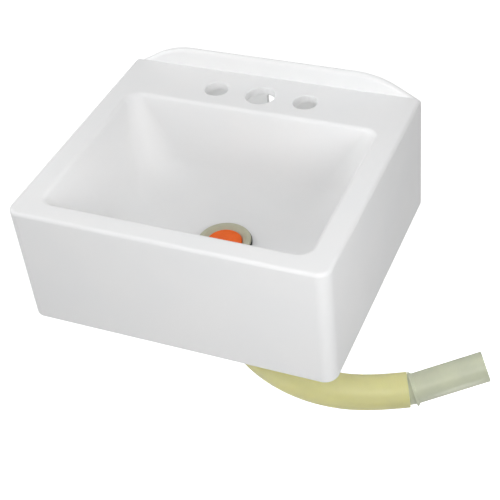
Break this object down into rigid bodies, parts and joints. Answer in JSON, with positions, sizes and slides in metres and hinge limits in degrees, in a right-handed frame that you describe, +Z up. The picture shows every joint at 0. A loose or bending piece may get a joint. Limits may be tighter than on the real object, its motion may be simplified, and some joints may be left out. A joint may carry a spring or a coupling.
{
  "type": "wall-mounted bathroom sink",
  "caption": "Boxy white wall-hung bathroom sink with a tap deck, a sloping-shouldered back plate, a stoppered waste in the bowl and a drain hose with a stub tube.",
  "frame": {"origin": "on the wall behind the plate, at mid width and at the height of the basin's rim", "axes": "+X to the right for someone facing the sink, +Y into the wall, +Z up"},
  "size_m": [0.4322, 0.293, 0.3892],
  "materials": {
    "white_resin": "smooth glossy white",
    "white_steel": "white powder coat",
    "zinc_steel": "zinc plated",
    "brass": "plain turned brass",
    "grey_plastic": "satin pale grey-green",
    "orange_rubber": "satin orange",
    "black_rubber": "matt black",
    "hose_vinyl": "soft satin pale yellow",
    "clamp_steel": "bright stainless"
  },
  "bodies": {
    "sink": {"basin": "white_resin", "wall_plate": "white_steel", "bracket_left": "zinc_steel", "bracket_right": "zinc_steel", "plate_studs": "zinc_steel", "stud_washers": "zinc_steel", "stud_nuts": "zinc_steel", "deck_washers": "zinc_steel", "deck_screws": "zinc_steel", "deck_inserts": "brass", "waste_body": "grey_plastic", "friction_ring": "grey_plastic", "lock_nut": "grey_plastic", "slip_nut": "grey_plastic", "flange_seal": "black_rubber", "under_gasket": "black_rubber", "tail_washer": "black_rubber"},
    "stopper_plug": {"stopper": "orange_rubber"},
    "drain_tail": {"tailpiece": "grey_plastic", "clamp_band": "clamp_steel", "clamp_housing": "clamp_steel", "clamp_screw": "clamp_steel", "drain_hose": "hose_vinyl", "hose_connector": "grey_plastic"}
  },
  "joints": [
    {"name": "stopper_lift", "type": "slide", "parent": "sink", "child": "stopper_plug", "axis": [0, 0, 1], "range_m": [0, 0.03]},
    {"name": "hose_swivel", "type": "hinge", "parent": "sink", "child": "drain_tail", "pos_m": [0, -0.1645, -0.1405], "axis": [0, 0, 1], "range_deg": [-232, 6]}
  ]
}
